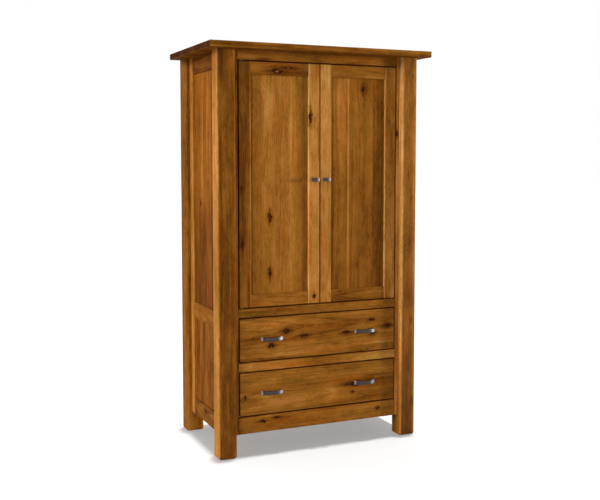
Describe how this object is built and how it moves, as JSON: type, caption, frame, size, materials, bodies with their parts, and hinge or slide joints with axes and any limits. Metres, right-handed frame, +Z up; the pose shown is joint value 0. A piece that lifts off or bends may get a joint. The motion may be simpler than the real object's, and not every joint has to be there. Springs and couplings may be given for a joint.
{
  "type": "computer armoire",
  "caption": "Tall rustic hardwood armoire on square posts, with framed doors over drawers, a desk-height deck, shelves and cable holes in the back.",
  "frame": {"origin": "on the floor, at the centre of the outline seen from above", "axes": "+X to the right seen from the front, +Y to the back, +Z up"},
  "size_m": [1.15, 0.646, 1.93],
  "materials": {
    "stained_hardwood": "satin varnish over an amber brown stain, knotty grain",
    "drawer_wood": "clear matt varnish on pale plain wood",
    "back_plywood": "matt stained plywood",
    "pewter": "satin, softly worn",
    "zinc_steel": "bright zinc plate",
    "aged_brass": "aged, satin",
    "dark_plastic": "fine moulded grain"
  },
  "bodies": {
    "case": {"top_panel": "stained_hardwood", "top_screws": "zinc_steel", "post_front_left": "stained_hardwood", "post_front_right": "stained_hardwood", "post_back_left": "stained_hardwood", "post_back_right": "stained_hardwood", "left_side_stiles": "stained_hardwood", "left_side_bottom_rail": "stained_hardwood", "left_side_middle_rail": "stained_hardwood", "left_side_top_rail": "stained_hardwood", "left_side_lower_panel": "stained_hardwood", "left_side_upper_panel": "stained_hardwood", "right_side_stiles": "stained_hardwood", "right_side_bottom_rail": "stained_hardwood", "right_side_middle_rail": "stained_hardwood", "right_side_top_rail": "stained_hardwood", "right_side_lower_panel": "stained_hardwood", "right_side_upper_panel": "stained_hardwood", "face_stile_left": "stained_hardwood", "face_stile_right": "stained_hardwood", "face_top_rail": "stained_hardwood", "face_door_rail": "stained_hardwood", "face_drawer_rail": "stained_hardwood", "face_bottom_rail": "stained_hardwood", "back_panel": "back_plywood", "back_rails": "stained_hardwood", "deck": "stained_hardwood", "shelves": "stained_hardwood", "shelf_pins": "zinc_steel", "support_cleats": "drawer_wood", "slide_case_members": "zinc_steel", "door_case_pivots": "aged_brass", "cable_grommets": "dark_plastic", "door_catches": "dark_plastic"},
    "left_door": {"left_door_hinge_stile": "stained_hardwood", "left_door_meeting_stile": "stained_hardwood", "left_door_top_rail": "stained_hardwood", "left_door_bottom_rail": "stained_hardwood", "left_door_panel": "stained_hardwood", "left_door_knob": "pewter", "left_door_hardware": "aged_brass"},
    "right_door": {"right_door_hinge_stile": "stained_hardwood", "right_door_meeting_stile": "stained_hardwood", "right_door_top_rail": "stained_hardwood", "right_door_bottom_rail": "stained_hardwood", "right_door_panel": "stained_hardwood", "right_door_knob": "pewter", "right_door_hardware": "aged_brass"},
    "upper_drawer": {"upper_drawer_front": "stained_hardwood", "upper_drawer_box": "drawer_wood", "upper_drawer_bottom": "drawer_wood", "upper_drawer_pulls": "pewter", "upper_drawer_slide_members": "zinc_steel"},
    "upper_slide_middle": {"upper_slide_middle_members": "zinc_steel"},
    "lower_drawer": {"lower_drawer_front": "stained_hardwood", "lower_drawer_box": "drawer_wood", "lower_drawer_bottom": "drawer_wood", "lower_drawer_pulls": "pewter", "lower_drawer_slide_members": "zinc_steel"},
    "lower_slide_middle": {"lower_slide_middle_members": "zinc_steel"}
  },
  "joints": [
    {"name": "left_door_hinge", "type": "hinge", "parent": "case", "child": "left_door", "pos_m": [-0.4015, -0.241, 1.2775], "axis": [0, 0, -1], "range_deg": [0, 120]},
    {"name": "right_door_hinge", "type": "hinge", "parent": "case", "child": "right_door", "pos_m": [0.4015, -0.241, 1.2775], "axis": [0, 0, 1], "range_deg": [0, 120]},
    {"name": "upper_drawer_slide", "type": "slide", "parent": "case", "child": "upper_drawer", "axis": [0, -1, 0], "range_m": [0, 0.5]},
    {"name": "upper_slide_extension", "type": "slide", "parent": "case", "child": "upper_slide_middle", "axis": [0, -1, 0], "range_m": [0, 0.25]},
    {"name": "lower_drawer_slide", "type": "slide", "parent": "case", "child": "lower_drawer", "axis": [0, -1, 0], "range_m": [0, 0.5]},
    {"name": "lower_slide_extension", "type": "slide", "parent": "case", "child": "lower_slide_middle", "axis": [0, -1, 0], "range_m": [0, 0.25]}
  ],
  "couplings": [
    {"joint": "upper_slide_extension", "follows": "upper_drawer_slide", "ratio": 0.5},
    {"joint": "lower_slide_extension", "follows": "lower_drawer_slide", "ratio": 0.5}
  ]
}
